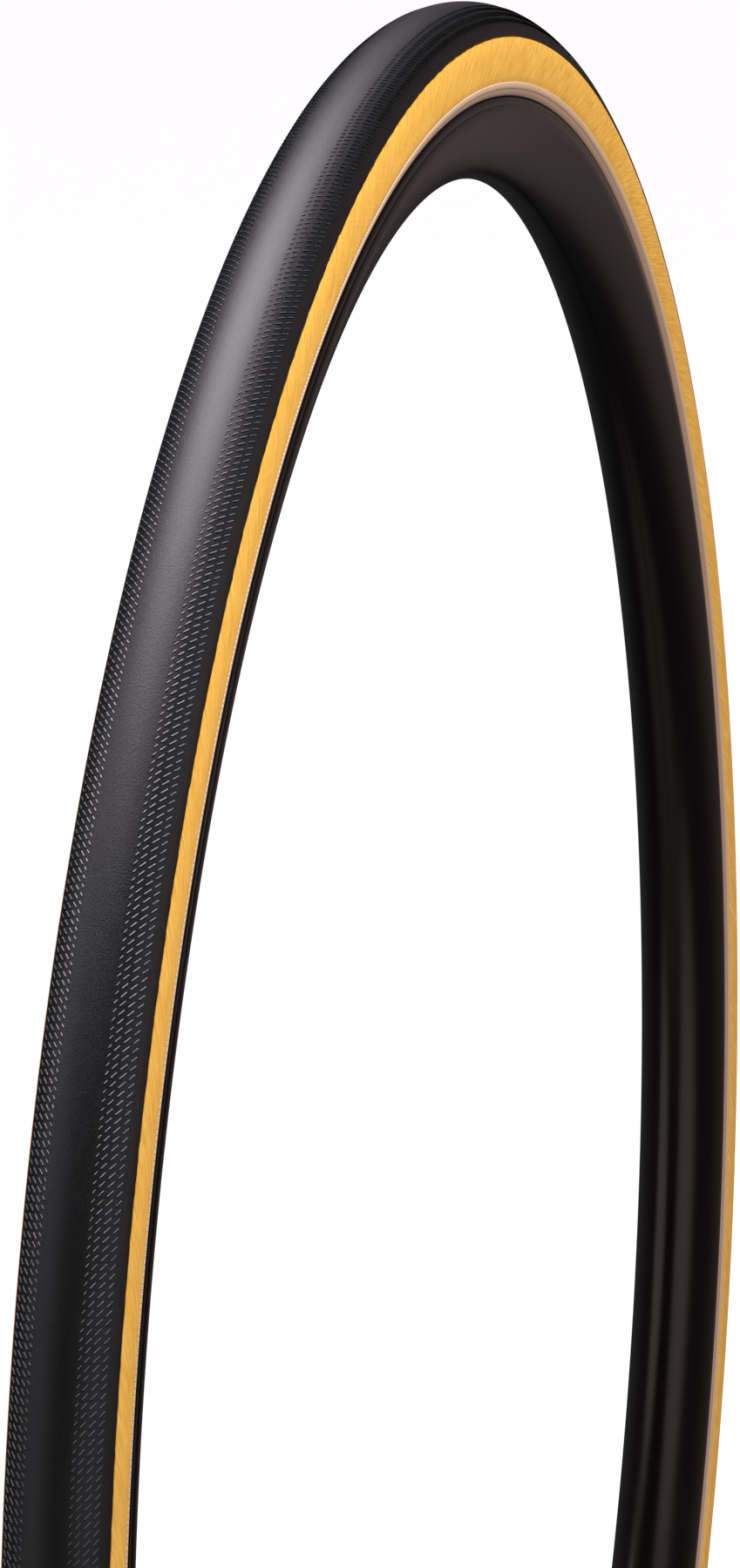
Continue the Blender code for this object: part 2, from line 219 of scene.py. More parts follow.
class Paint:
    """Builds one material's nodes, with the wheel's own coordinates."""

    def __init__(self, name):
        self.material = bpy.data.materials.new(name)
        self.material.use_nodes = True
        self.tree = self.material.node_tree
        self.shader = self.tree.nodes["Principled BSDF"]
        self.place = self.node("ShaderNodeTexCoord").outputs["Object"]

    def node(self, kind, inputs=None, **settings):
        made = self.tree.nodes.new(kind)
        for key, value in settings.items():
            setattr(made, key, value)
        for key, value in (inputs or {}).items():
            self.give(made.inputs[key], value)
        return made

    def give(self, socket, value):
        if isinstance(value, bpy.types.NodeSocket):
            self.tree.links.new(value, socket)
        else:
            socket.default_value = value

    def math(self, operation, first, second=0.0, third=0.0):
        made = self.node("ShaderNodeMath", operation=operation)
        for socket, value in zip(made.inputs, (first, second, third)):
            self.give(socket, value)
        return made.outputs[0]

    def wheel(self):
        """Sockets: the angle round the axle, radius and side in mm, and the section's angle."""
        split = self.node("ShaderNodeSeparateXYZ", {"Vector": self.place})
        x, y, z = split.outputs
        phi = self.math("ARCTAN2", z, x)
        square = self.math("ADD", self.math("MULTIPLY", x, x), self.math("MULTIPLY", z, z))
        radius = self.math("MULTIPLY", self.math("SQRT", square), 1.0 / MM)
        side = self.math("MULTIPLY", y, 1.0 / MM)
        theta = self.math("ARCTAN2", side, self.math("SUBTRACT", radius, SECTION_CENTRE))
        return phi, radius, side, theta

    def wrapped(self, phi, along, across):
        """A vector that closes round the wheel, in mm, squeezed along and across."""
        x = self.math("MULTIPLY", self.math("COSINE", phi), SECTION_CENTRE * along)
        z = self.math("MULTIPLY", self.math("SINE", phi), SECTION_CENTRE * along)
        return self.node("ShaderNodeCombineXYZ", {"X": x, "Y": across, "Z": z}).outputs[0]

    def noise(self, vector, scale, detail=3.0, roughness=0.55):
        made = self.node("ShaderNodeTexNoise", {"Vector": vector, "Scale": scale})
        made.inputs["Detail"].default_value = detail
        made.inputs["Roughness"].default_value = roughness
        return made.outputs["Fac"]

    def band(self, value, low, high, bottom=0.0, top=1.0):
        """Rises smoothly from bottom to top as value goes from low to high."""
        made = self.node("ShaderNodeMapRange", interpolation_type="SMOOTHSTEP")
        for socket, number in zip(made.inputs, (value, low, high, bottom, top)):
            self.give(socket, number)
        return made.outputs[0]

    def mix(self, share, first, second):
        made = self.node("ShaderNodeMix", data_type="RGBA")
        self.give(made.inputs["Factor"], share)
        colors = [socket for socket in made.inputs if socket.type == "RGBA"]
        for socket, value in zip(colors, (first, second)):
            self.give(socket, (*value, 1.0) if isinstance(value, tuple) else value)
        return next(socket for socket in made.outputs if socket.type == "RGBA")

    def bump(self, height, distance, strength=1.0, below=None):
        made = self.node("ShaderNodeBump", {"Height": height, "Strength": strength})
        made.inputs["Distance"].default_value = distance * MM
        if below is not None:
            self.give(made.inputs["Normal"], below)
        return made.outputs["Normal"]

    def share(self, amount, value):
        """A mask made weaker."""
        return self.math("MULTIPLY", value, amount)

    def finish(self, color, roughness, normal=None, **more):
        color = (*color, 1.0) if isinstance(color, tuple) else color
        self.give(self.shader.inputs["Base Color"], color)
        self.give(self.shader.inputs["Roughness"], roughness)
        if normal is not None:
            self.give(self.shader.inputs["Normal"], normal)
        for key, value in more.items():
            self.give(self.shader.inputs[key.replace("_", " ")], value)
        return self.material


def tread_rubber():
    """Grained black rubber. Each face of the marks carries painted light: 1 paints a highlight on a crest,
    -1 paints shade in the recess behind it.
    """
    paint = Paint("tread_rubber")
    fine = paint.noise(paint.place, 2600.0, 4.0, 0.7)
    broad = paint.noise(paint.place, 90.0, 3.0)
    speckle = paint.band(paint.noise(paint.place, 1500.0, 2.0), 0.52, 0.75)
    # The face attribute that carries the marks' painted highlight and painted shade.
    painted_light = paint.node("ShaderNodeAttribute", attribute_name="painted_light").outputs["Fac"]
    crest = paint.math("MAXIMUM", painted_light, 0.0)
    recess = paint.math("MAXIMUM", paint.math("MULTIPLY", painted_light, -1.0), 0.0)
    *_, theta = paint.wheel()
    plain = paint.band(theta, math.radians(-52.0), math.radians(-58.0))
    color = paint.mix(broad, (0.0010, 0.0009, 0.0011), (0.0020, 0.0018, 0.0022))
    color = paint.mix(paint.share(0.8, plain), color, (0.0060, 0.0042, 0.0040))
    color = paint.mix(paint.share(0.35, speckle), color, (0.006, 0.0055, 0.006))
    # Painted highlight: the crest faces get a light grey in place of the light they catch.
    color = paint.mix(crest, color, (0.055, 0.053, 0.057))
    # Painted shade: the recess faces go near black in place of the shade that falls in them.
    color = paint.mix(recess, color, (0.0004, 0.0004, 0.0004))
    roughness = paint.math("MULTIPLY_ADD", fine, 0.20, 0.30)
    normal = paint.bump(fine, 0.10, 1.0, paint.bump(broad, 0.12, 0.35))
    # The specular follows the painted light: doubled on the crests, none in the recesses.
    shine = paint.math("MULTIPLY_ADD", painted_light, 0.5, 0.5)
    return paint.finish(color, roughness, normal, Specular_IOR_Level=shine)


def casing_cotton():
    """Tan threads under a thin clear skin of rubber, laid on the bias."""
    paint = Paint("casing_cotton")
    phi, _, _, theta = paint.wheel()
    across = paint.math("MULTIPLY", theta, 0.12 * SECTION_RADIUS)
    lean = paint.math("MULTIPLY", theta, 1.7 * SECTION_RADIUS / SECTION_CENTRE)
    bias = paint.math("ADD", phi, lean)
    counter = paint.math("SUBTRACT", phi, lean)
    streaks = paint.noise(paint.wrapped(bias, 1.0, across), 1.9, 3.0)
    cross = paint.noise(paint.wrapped(counter, 1.0, across), 1.5, 2.0)
    blotch = paint.noise(paint.place, 160.0, 3.0)
    thread = paint.math("SINE", paint.math("MULTIPLY", bias, 5600.0))
    light = paint.share(0.6, paint.band(streaks, 0.50, 0.64))
    dark = paint.share(0.6, paint.band(streaks, 0.48, 0.36))
    crossing = paint.share(0.3, paint.band(cross, 0.52, 0.66))
    color = paint.mix(blotch, (0.76, 0.375, 0.040), (0.88, 0.455, 0.055))
    color = paint.mix(light, color, (0.95, 0.62, 0.16))
    color = paint.mix(dark, color, (0.58, 0.26, 0.030))
    color = paint.mix(crossing, color, (0.93, 0.56, 0.13))
    height = paint.math("MULTIPLY_ADD", thread, 0.25, paint.math("ADD", streaks, cross))
    roughness = paint.math("MULTIPLY_ADD", blotch, 0.2, 0.42)
    return paint.finish(color, roughness, paint.bump(height, 0.05, 0.6), Specular_IOR_Level=0.4)


def chafer_weave():
    """Two ribbed rows of a tan woven strip, with a grey-green line between them; the lower row and the foot
    by the rim's lip are darkened as painted shade.
    """
    paint = Paint("chafer_weave")
    phi, radius, *_ = paint.wheel()
    rib = paint.math("SINE", paint.math("MULTIPLY", phi, 3400.0))
    broken = paint.noise(paint.wrapped(phi, 1.0, radius), 1.4, 3.0)
    # Painted shade: this mask keeps the upper row light and leaves the lower row a darker tan.
    upper = paint.band(radius, 315.3, 315.5)
    above = paint.band(radius, 315.2, 315.32)
    below = paint.band(radius, 315.5, 315.38)
    # Painted shade where the strip runs in under the rim's lip.
    foot_painted_shade = paint.band(radius, 313.95, 313.7)
    ridge = paint.band(radius, 316.9, 317.0)
    dashes = paint.band(paint.math("SINE", paint.math("MULTIPLY", phi, 1450.0)), 0.55, 0.8)
    # The lower row's darker tan is painted shade; the upper row's light tan is the strip's own colour.
    color = paint.mix(upper, (0.37, 0.235, 0.18), (0.60, 0.40, 0.255))
    color = paint.mix(paint.share(0.35, broken), color, (0.66, 0.42, 0.19))
    color = paint.mix(paint.share(0.7, paint.math("MULTIPLY", above, below)), color, (0.12, 0.11, 0.09))
    # Painted shade, near black, at the foot in the gap by the rim's lip.
    color = paint.mix(foot_painted_shade, color, (0.05, 0.06, 0.035))
    color = paint.mix(ridge, color, (0.74, 0.64, 0.50))
    red = paint.math("MULTIPLY", ridge, paint.share(0.7, dashes))
    color = paint.mix(red, color, (0.45, 0.08, 0.05))
    normal = paint.bump(paint.math("ADD", paint.share(0.5, rib), broken), 0.09, 0.8)
    return paint.finish(color, 0.7, normal, Specular_IOR_Level=0.3)


def rim_black():
    """A satin black rim with faint turning marks and a soft grain."""
    paint = Paint("rim_black")
    phi, radius, *_ = paint.wheel()
    grain = paint.noise(paint.place, 1800.0, 3.0)
    cloudy = paint.noise(paint.place, 60.0, 2.0)
    turned = paint.noise(paint.wrapped(phi, 0.02, paint.math("MULTIPLY", radius, 6.0)), 1.0, 2.0)
    color = paint.mix(cloudy, (0.0013, 0.0010, 0.0010), (0.0022, 0.0017, 0.0017))
    roughness = paint.math("MULTIPLY_ADD", grain, 0.08, 0.20)
    normal = paint.bump(grain, 0.02, 0.25, paint.bump(turned, 0.02, 0.2))
    # The warm specular tint is painted light: it gives the rim's reflections the brown colour of the light
    # they catch.
    return paint.finish(color, roughness, normal, Specular_Tint=(1.0, 0.82, 0.74, 1.0))


def plain_cloth(name, light, dark, threads, lean_share):
    """A woven cloth inside the tyre or rim, with two sets of threads on the bias."""
    paint = Paint(name)
    phi, _, side, _ = paint.wheel()
    lean = paint.math("MULTIPLY", side, lean_share / SECTION_CENTRE)
    one = paint.math("SINE", paint.math("MULTIPLY", paint.math("ADD", phi, lean), threads))
    two = paint.math("SINE", paint.math("MULTIPLY", paint.math("SUBTRACT", phi, lean), threads))
    weave = paint.math("MULTIPLY_ADD", paint.math("MULTIPLY", one, two), 0.5, 0.5)
    worn = paint.noise(paint.place, 220.0, 3.0)
    color = paint.mix(paint.math("MULTIPLY", weave, worn), dark, light)
    return paint.finish(color, 0.85, paint.bump(weave, 0.08, 0.7))


def soft_rubber(name, low, high, roughness):
    """A plain moulded rubber with talc-like patches."""
    paint = Paint(name)
    patches = paint.noise(paint.place, 140.0, 4.0)
    pores = paint.noise(paint.place, 2200.0, 2.0)
    dull = paint.math("MULTIPLY_ADD", patches, 0.15, roughness)
    return paint.finish(paint.mix(patches, low, high), dull, paint.bump(pores, 0.03, 0.4))


def machined_metal(name, low, high, roughness):
    """Turned metal: fine rings round the valve's axis, with faint handling marks."""
    paint = Paint(name)
    height = paint.node("ShaderNodeSeparateXYZ", {"Vector": paint.place}).outputs["Z"]
    rings_at = paint.node("ShaderNodeCombineXYZ", {"Z": height})
    rings = paint.noise(rings_at.outputs[0], 9000.0, 2.0)
    marks = paint.noise(paint.place, 500.0, 4.0, 0.65)
    shine = paint.math("MULTIPLY_ADD", marks, 0.22, roughness)
    normal = paint.bump(rings, 0.015, 0.4)
    return paint.finish(paint.mix(marks, low, high), shine, normal, Metallic=1.0)


def cap_plastic():
    """Dull black plastic with a fine grain."""
    paint = Paint("cap_plastic")
    grain = paint.noise(paint.place, 3000.0, 3.0)
    patches = paint.noise(paint.place, 300.0, 2.0)
    color = paint.mix(patches, (0.012, 0.012, 0.013), (0.022, 0.021, 0.022))
    roughness = paint.math("MULTIPLY_ADD", grain, 0.2, 0.35)
    return paint.finish(color, roughness, paint.bump(grain, 0.03, 0.4))


def bead_cord():
    """Stiff cord laid up in a slow twist."""
    paint = Paint("bead_cord")
    phi, radius, side, _ = paint.wheel()
    turn = paint.math("ARCTAN2", paint.math("SUBTRACT", radius, BEAD_PLACE[0]), side)
    strand = paint.math("MULTIPLY_ADD", phi, 1200.0, paint.math("MULTIPLY", turn, 3.0))
    twist = paint.math("SINE", strand)
    color = paint.mix(paint.band(twist, -1.0, 1.0), (0.30, 0.22, 0.06), (0.62, 0.50, 0.20))
    return paint.finish(color, 0.6, paint.bump(twist, 0.1, 0.8))


# The tyre's section ---------------------------------------------------------------------


def section_point(depth, degrees):
    """A point that lies depth inside the tyre's outer face, at an angle from the crown."""
    angle = math.radians(degrees)
    side = (SECTION_RADIUS - depth) * math.sin(angle)
    if abs(degrees) <= 90.0:
        return SECTION_CENTRE + (SECTION_RADIUS - depth) * math.cos(angle), side
    fall = abs(math.cos(angle)) ** LOWER_POWER
    return SECTION_CENTRE - (LOWER_HEIGHT - depth) * fall, side


def arc(depth_at, first, last, count):
    """Points along the section; depth_at gives the depth at an angle."""
    angles = np.linspace(first, last, count)
    return [section_point(depth_at(a), a) for a in angles]


def tread_thickness(degrees):
    """The tread is thickest at the crown and thins out to its edges."""
    fall = math.cos(0.5 * math.pi * min(abs(degrees) / NEAR_EDGE, 1.0))
    return EDGE_TREAD + (CROWN_TREAD - EDGE_TREAD) * fall


def ply_depth(degrees):
    """How far the casing's outer face lies inside the tyre's outer face."""
    size = abs(degrees)
    if size > CHAFER_EDGE:
        return CHAFER_DEPTH
    if size > TREAD_SEAT_EDGE:
        return SIDEWALL_DEPTH
    if size > TREAD_SEAT_START:
        share = min(1.0, (TREAD_SEAT_EDGE - size) / 4.0)
        full = tread_thickness(TREAD_SEAT_START) + LAYER_GAP
        return SIDEWALL_DEPTH + share * (full - SIDEWALL_DEPTH)
    under_belt = (BELT_THICKNESS + LAYER_GAP) * max(0.0, min(1.0, (BELT_EDGE + 8.0 - size) / 4.0))
    return tread_thickness(degrees) + LAYER_GAP + under_belt


def ripple(phi):
    """The slight waver of the tread's moulded edge, in mm."""
    waves = ((211, 0.05, 0.3), (337, 0.05, 1.9), (523, 0.045, 4.1), (89, 0.03, 2.2))
    return sum(height * np.sin(count * phi + start) for count, height, start in waves)


# The tread ------------------------------------------------------------------------------


def surface_point(theta, phi, depth):
    """Points depth mm inside the tread's round face, at section angle theta in radians."""
    radius = SECTION_CENTRE + (SECTION_RADIUS - depth) * np.cos(theta)
    side = (SECTION_RADIUS - depth) * np.sin(theta)
    return np.stack([radius * np.cos(phi), side, radius * np.sin(phi)], axis=-1)


def mark_outline(along, across):
    """One moulded mark: (along, across, depth) of its points, across being to the crown.

    A narrow raised ramp crosses the cell on the bias. Behind its crest the face drops into a
    recess, which is deepest at the end near the crown.
    """
    length = math.hypot(along, across)
    lengthwise = np.array([along, across]) / length
    uphill = np.array([-across, along]) / length
    middle = np.array([-MARK_SET_BACK, 0.0])
    tail = middle - 0.5 * np.array([along, across])
    head = middle + 0.5 * np.array([along, across])
    ramp = 0.10
    points = [
        (tail - uphill * (ramp + 0.16), 0.0),
        (head + np.array([0.34, -0.10]), 0.0),
        (head + lengthwise * 0.14, 0.0),
        (head + uphill * ramp, 0.0),
        (tail + uphill * ramp, 0.0),
        (tail - uphill * ramp, -0.11),
        (head - uphill * ramp, -0.14),
        (tail - uphill * (ramp + 0.06), 0.22),
        (head + np.array([0.16, -0.12]), 0.5),
    ]
    return [(x, y, depth) for (x, y), depth in points]


# Corners of a cell are 0-3: low phi by the sidewall, high phi by the sidewall, high phi by
# the crown, low phi by the crown. The mark's nine points are 4-12.
CELL_FACES = (
    (0, 1, 4), (1, 5, 4), (1, 2, 5), (2, 6, 5), (2, 7, 6), (2, 3, 7), (3, 8, 7), (3, 0, 8),
    (0, 4, 8), (8, 9, 10, 7), (7, 10, 6), (6, 10, 12), (6, 12, 5), (9, 11, 12, 10),
    (11, 4, 5, 12), (8, 4, 11, 9),
)
# Painted light on each face: 1 is a painted highlight on the crest, -1 painted shade in the recess behind
# it, 0 elsewhere; values between paint more weakly.
CELL_PAINTED_LIGHT = (0.0,) * 9 + (1.0, 0.3, -1.0, -1.0, -1.0, -0.4, 0.0)


def plain_lines(edge):
    """Section angles of the plain lines between the marks and the tread's edge."""
    return list(np.linspace(ROW_EDGES[-1], edge - 2.4, 6)[1:])


def shoulder_line(phi, sign, degrees, depth, waver=0.0):
    """Points round the tread, at an angle from the pattern's centre, moved out by waver in mm."""
    angle = math.radians(degrees) + waver / SECTION_RADIUS + 0.0 * phi
    return surface_point(math.radians(PATTERN_CENTRE) + sign * angle, phi, depth)


def shoulder_quads(rows, sign):
    """Quads between the lines of a shoulder, without its rows of marks, which come first."""
    faces = []
    for row in range(len(ROW_MIDDLES), rows):
        start = row * COLUMNS
        above = ((row + 1) % rows) * COLUMNS
        for column in range(COLUMNS):
            after = (column + 1) % COLUMNS
            quad = (start + column, above + column, above + after, start + after)
            faces.append(quad if sign < 0 else quad[::-1])
    return faces


def mark_faces(start, first, sign, count):
    """One row of cells, from its first corner and the first of its marks' points."""
    faces = []
    for column in range(COLUMNS):
        after = (column + 1) % COLUMNS
        corners = [start + COLUMNS + column, start + COLUMNS + after, start + after, start + column]
        corners += [first + k * COLUMNS + column for k in range(count)]
        for face in CELL_FACES:
            chosen = tuple(corners[k] for k in face)
            faces.append(chosen[::-1] if sign < 0 else chosen)
    return faces


def tread_shoulder(name, sign, edge, material):
    """One side of the tread: four rows of marks, a plain band and the moulded edge."""
    phi = np.arange(COLUMNS) * TURN / COLUMNS
    blocks = [shoulder_line(phi, sign, degrees, 0.0) for degrees in list(ROW_EDGES) + plain_lines(edge)]
    for back, depth in TREAD_LIP:
        blocks.append(shoulder_line(phi, sign, edge - back, depth, ripple(phi)))
    for degrees in np.linspace(edge - 1.0, ROW_EDGES[0], 7):
        depth = max(tread_thickness(degrees), LEAST_TREAD)
        blocks.append(shoulder_line(phi, sign, degrees, depth))
    rows = len(blocks)
    faces = shoulder_quads(rows, sign)
    painted_light_values = [0.0] * len(faces)
    for row, (middle, size, shift) in enumerate(zip(ROW_MIDDLES, ROW_SIZES, ROW_SHIFTS)):
        first = len(blocks) * COLUMNS
        radius = SECTION_CENTRE + SECTION_RADIUS * math.cos(math.radians(middle))
        mark = mark_outline(*size)
        for along, across, depth in mark:
            at = phi + 0.5 * TURN / COLUMNS + (along + shift) / radius
            blocks.append(shoulder_line(at, sign, middle, depth, -across))
        faces += mark_faces(row * COLUMNS, first, sign, len(mark))
        painted_light_values += CELL_PAINTED_LIGHT * COLUMNS
    piece = add_piece(
        name, np.concatenate(blocks), faces, material, "wheel", ["tread_cap"]
    )
    piece.data.set_sharp_from_angle(angle=math.radians(12.0))
    # Each face's painted light: painted highlight on the crests, painted shade in the recesses.
    painted_light = piece.data.attributes.new("painted_light", "FLOAT", "FACE")
    painted_light.data.foreach_set("value", painted_light_values)


def tread_centre(material):
    """The smooth middle band, flush with the shoulders; its edges run in under them."""
    first = PATTERN_CENTRE - ROW_EDGES[0]
    last = PATTERN_CENTRE + ROW_EDGES[0]
    outer = arc(lambda degrees: 0.0, first, last, 19)
    step_near = section_point(CENTRE_STEP_DEPTH, first - 0.25)
    step_far = section_point(CENTRE_STEP_DEPTH, last + 0.25)
    inner = arc(tread_thickness, last, first, 9)
    profile = [step_near] + outer + [step_far] + inner
    add_ring("tread_centre_band", profile, COLUMNS, material, ["tread_cap"])


# Casing, beads, chafers and tube --------------------------------------------------------


def layer(first_depth):
    """Half of one face of a casing layer, this far under the casing's outer face."""
    return arc(lambda degrees: ply_depth(degrees) + first_depth, 0.0, SIDEWALL_END, 30)[1:]


def casing(cotton, ply_cloth):
    """Two layers of cloth: the outer one turns in round the bead, the inner one stops by it."""
    outer = arc(ply_depth, 0.0, 104.0, 43)[1:] + arc(ply_depth, 110.0, SIDEWALL_END, 2)
    outer += [(314.75, 10.15), (313.7, 9.1), (311.3, 9.0), (311.3, 7.15)]
    inner = layer(OUTER_PLY) + [(315.15, 9.8), (314.0, 8.65), (311.7, 8.5), (311.7, 7.15)]
    add_ring("casing_sidewalls", sheet(outer, inner), 726, cotton, ["outer_casing_ply"])

    start = OUTER_PLY + LAYER_GAP
    outer = layer(start) + [(315.0, 9.35), (313.6, 6.95), (311.5, 6.75)]
    inner = layer(start + INNER_PLY) + [(315.3, 9.05), (313.8, 6.5), (311.5, 6.3)]
    add_ring("inner_casing", sheet(outer, inner), 360, ply_cloth, ["inner_casing_ply"])


def belt(material):
    """The strip of cloth between the tread and the casing."""
    top = arc(lambda degrees: tread_thickness(degrees) + LAYER_GAP, 0.0, BELT_EDGE, 12)[1:]
    depth = LAYER_GAP + BELT_THICKNESS
    under = arc(lambda degrees: tread_thickness(degrees) + depth, 0.0, BELT_EDGE, 12)[1:]
    add_ring("belt_strip", sheet(top, under), 360, material, ["puncture_belt"])


def beads(material):
    """A round cord in each edge of the casing."""
    radius, side = BEAD_PLACE
    for name, sign in (("left", -1.0), ("right", 1.0)):
        loop = []
        for step in range(12):
            angle = sign * TURN * step / 12
            across = BEAD_RADIUS * math.sin(sign * angle)
            loop.append((radius + BEAD_RADIUS * math.cos(angle), sign * (side + across)))
        add_ring(f"{name}_bead", loop, 360, material, [f"{name}_bead_core"])


def chafers(material):
    """The woven strip over each bead, with two rounded rows above the rim's lip."""
    upper = [(317.15, 12.12), (317.0, 12.28), (316.75, 12.33), (316.1, 12.2), (315.6, 12.0)]
    lower = [(315.42, 11.78), (315.3, 11.78), (314.9, 11.68), (314.3, 11.38), (313.8, 11.05)]
    inside = [(313.6, 10.7), (313.62, 10.3), (313.3, 9.86), (311.35, 9.81), (311.35, 9.15)]
    back = [(313.63, 9.27), (314.64, 10.25), (315.93, 11.6), (317.0, 11.95)]
    half = upper + lower + inside + back
    near = [(radius, -side) for radius, side in half]
    add_ring("left_chafer", near, 726, material, ["left_chafer_strip"])
    add_ring("right_chafer", half[::-1], 726, material, ["right_chafer_strip"])


def tube_loop(inset):
    """The inflated tube's section, or its inner face where inset is its wall."""
    loop = []
    for step in range(40):
        angle = TURN * (step + 0.5) / 40
        rise = math.cos(angle)
        height = (TUBE_ABOVE if rise > 0.0 else TUBE_BELOW) - inset
        taper = 1.0 + TUBE_TAPER * min(rise, 0.0)
        loop.append((SECTION_CENTRE + height * rise, (TUBE_HALF_WIDTH - inset) * math.sin(angle) * taper))
    return loop


def inner_tube(material):
    """A hollow rubber ring, opened where the valve's bore enters it."""
    outer, outer_faces = ring_mesh(tube_loop(0.0), 360)
    inner, inner_faces = ring_mesh(tube_loop(TUBE_WALL), 360)
    faces = outer_faces + [tuple(k + len(outer) for k in face[::-1]) for face in inner_faces]
    points = np.concatenate([outer, inner])
    tube = add_piece("tube", points, faces, material, "wheel", ["inner_tube"])
    bore(tube, PASSAGE_RADIUS, WELL_FLOOR, SECTION_CENTRE)


# The rim --------------------------------------------------------------------------------


def rim_side(degrees):
    """A point on the arch of the rim's side, which reaches the bed's middle at 90 degrees."""
    angle = math.radians(degrees)
    drop = math.sin(angle) ** 1.14
    pinch = 0.557 * math.sin(math.pi * drop)
    return ARCH_TOP - (ARCH_TOP - RIM_BED) * drop, ARCH_HALF_WIDTH * math.cos(angle) - pinch


def rim_skin():
    """The rim's outer loop: well, bead seats, lips, sides and the arched bed."""
    flange = LIP_HALF_WIDTH - FLANGE_THICKNESS
    floor = [(WELL_FLOOR, 0.5), (WELL_FLOOR, WELL_HALF_WIDTH - 0.3), (WELL_FLOOR + 0.3, WELL_HALF_WIDTH)]
    seat = [(BEAD_SEAT - 0.25, SEAT_HALF_WIDTH - 0.1), (SEAT_FACE, SEAT_HALF_WIDTH + 0.2)]
    inside = [(SEAT_FACE, flange - 0.3), (BEAD_SEAT + 0.2, flange), (RIM_LIP - 0.6, flange)]
    lip = [(313.25, 10.3), (RIM_LIP, 10.5), (RIM_LIP, 10.85), (313.3, 11.05), (313.1, 11.22)]
    lip += [(312.8, LIP_HALF_WIDTH), (312.3, 11.55), (311.9, 11.64), (311.7, 11.62), (311.55, 11.62)]
    side = [(311.35, 11.76), (311.0, 11.9), (310.5, 12.03), (310.0, 12.1)]
    arch = [rim_side(degrees) for degrees in np.linspace(16.0, 89.0, 26)]
    return both_sides(floor + seat + inside + lip + side + arch)


def rim_hollow():
    """The loop of the closed space inside the rim."""
    cavity = [(WELL_FLOOR - WELL_THICKNESS, WELL_HALF_WIDTH), (HOLLOW_TOP, SEAT_HALF_WIDTH + 0.7)]
    for degrees in (16, 30, 45, 60, 75):
        radius, half = rim_side(degrees)
        cavity.append((min(radius + 0.2, HOLLOW_TOP), half - RIM_WALL))
    cavity.append((RIM_BED + RIM_WALL, 1.2))
    return both_sides(cavity)


def rim(material):
    """A hollow rim with a hole for the valve, wider through the well than through the bed."""
    points, faces = ring_mesh(rim_skin(), 720)
    hollow, hollow_faces = ring_mesh(rim_hollow(), 360)
    faces = faces + [tuple(k + len(points) for k in face[::-1]) for face in hollow_faces]
    points = np.concatenate([points, hollow])
    made = add_piece("rim_shell", points, faces, material, "wheel", ["rim_body"])
    bore(made, PASSAGE_RADIUS + 0.9, WELL_FLOOR - 3.0, RIM_LIP)
    bore(made, PASSAGE_RADIUS, RIM_BED - 3.0, RIM_BED + 6.0)


def tape(material):
    """The cloth strip over the well, with its own hole for the valve."""
    near = WELL_FLOOR + LAYER_GAP
    far = near + TAPE_THICKNESS
    cut = TAPE_HALF_WIDTH - 0.1
    loop = both_sides([(near, cut), (near + 0.1, TAPE_HALF_WIDTH), (far - 0.1, TAPE_HALF_WIDTH), (far, cut)])
    made = add_ring("well_tape", loop[::-1], 360, material, ["rim_tape"])
    bore(made, PASSAGE_RADIUS, WELL_FLOOR - 2.0, BEAD_SEAT + 2.0)


# The valve ------------------------------------------------------------------------------


def lathe(name, profile, steps, material, body, node, shape=None):
    """A piece turned about the valve's axis, from (radius, level) points round its section.

    Points on the axis become one point each. shape(radius, level, angle) may change radii.
    """
    angles = np.arange(steps) * TURN / steps
    points = []
    rows = []
    for radius, level in profile:
        rows.append((len(points), radius > 1e-9))
        if radius <= 1e-9:
            points.append((0.0, 0.0, -level))
            continue
        radii = np.full(steps, radius) if shape is None else shape(radius, level, angles)
        for at, angle in zip(radii, angles):
            points.append((at * math.cos(angle), at * math.sin(angle), -level))
    faces = []
    for one, other in zip(rows, rows[1:] + rows[:1]):
        if not (one[1] or other[1]):
            continue
        for k in range(steps):
            after = (k + 1) % steps
            corners = [one[0] + k if one[1] else one[0]]
            if one[1]:
                corners.append(one[0] + after)
            if other[1]:
                corners += [other[0] + after, other[0] + k]
            else:
                corners.append(other[0])
            if len(set(corners)) > 2:
                faces.append(tuple(corners))
    return add_piece(name, points, faces, material, body, [node])


def threaded(pitch, depth, first, last):
    """Radii of a screw thread between two levels, as a shape for lathe."""

    def shape(radius, level, angles):
        if not first < level < last:
            return np.full(len(angles), radius)
        turn = (level / pitch + angles / TURN) % 1.0
        return radius - depth * np.abs(2.0 * turn - 1.0)

    return shape


def knurled(count, depth, smallest):
    """Radii of fine upright ribs on the outer face, as a shape for lathe."""

    def shape(radius, level, angles):
        if radius < smallest:
            return np.full(len(angles), radius)
        return radius - depth * (0.5 - 0.5 * np.cos(count * angles))

    return shape


def outer_levels(radius, near, far, spacing):
    """Points down a straight outer face, close enough together to carry a thread."""
    count = max(2, int(round((far - near) / spacing)) + 1)
    return [(radius, level) for level in np.linspace(near, far, count)]


def valve_base(rubber):
    """The patch that joins the stem to the tube."""
    base = [(PASSAGE_RADIUS, 309.05), (4.5, 309.05), (4.9, 309.3), (4.7, 309.9), (4.2, 310.4)]
    base.append((PASSAGE_RADIUS, 310.4))
    lathe("valve_patch", base, 48, rubber, "wheel", "valve_base_patch")


def valve_stem(metal):
    """The threaded tube, with a flange inside the inner tube."""
    lip = STEM_FLANGE - 0.2
    stem = outer_levels(STEM_RADIUS, STEM_END, 308.5, 0.2)
    stem += [(STEM_RADIUS, 313.4), (STEM_FLANGE, 313.5), (STEM_FLANGE, 313.9), (lip, STEM_TOP)]
    stem += [(STEM_BORE, STEM_TOP), (STEM_BORE, STEM_END)]
    thread = threaded(0.8, 0.25, STEM_END + 0.6, 305.0)
    lathe("valve_stem_threaded", stem, 32, metal, "wheel", "valve_stem", thread)


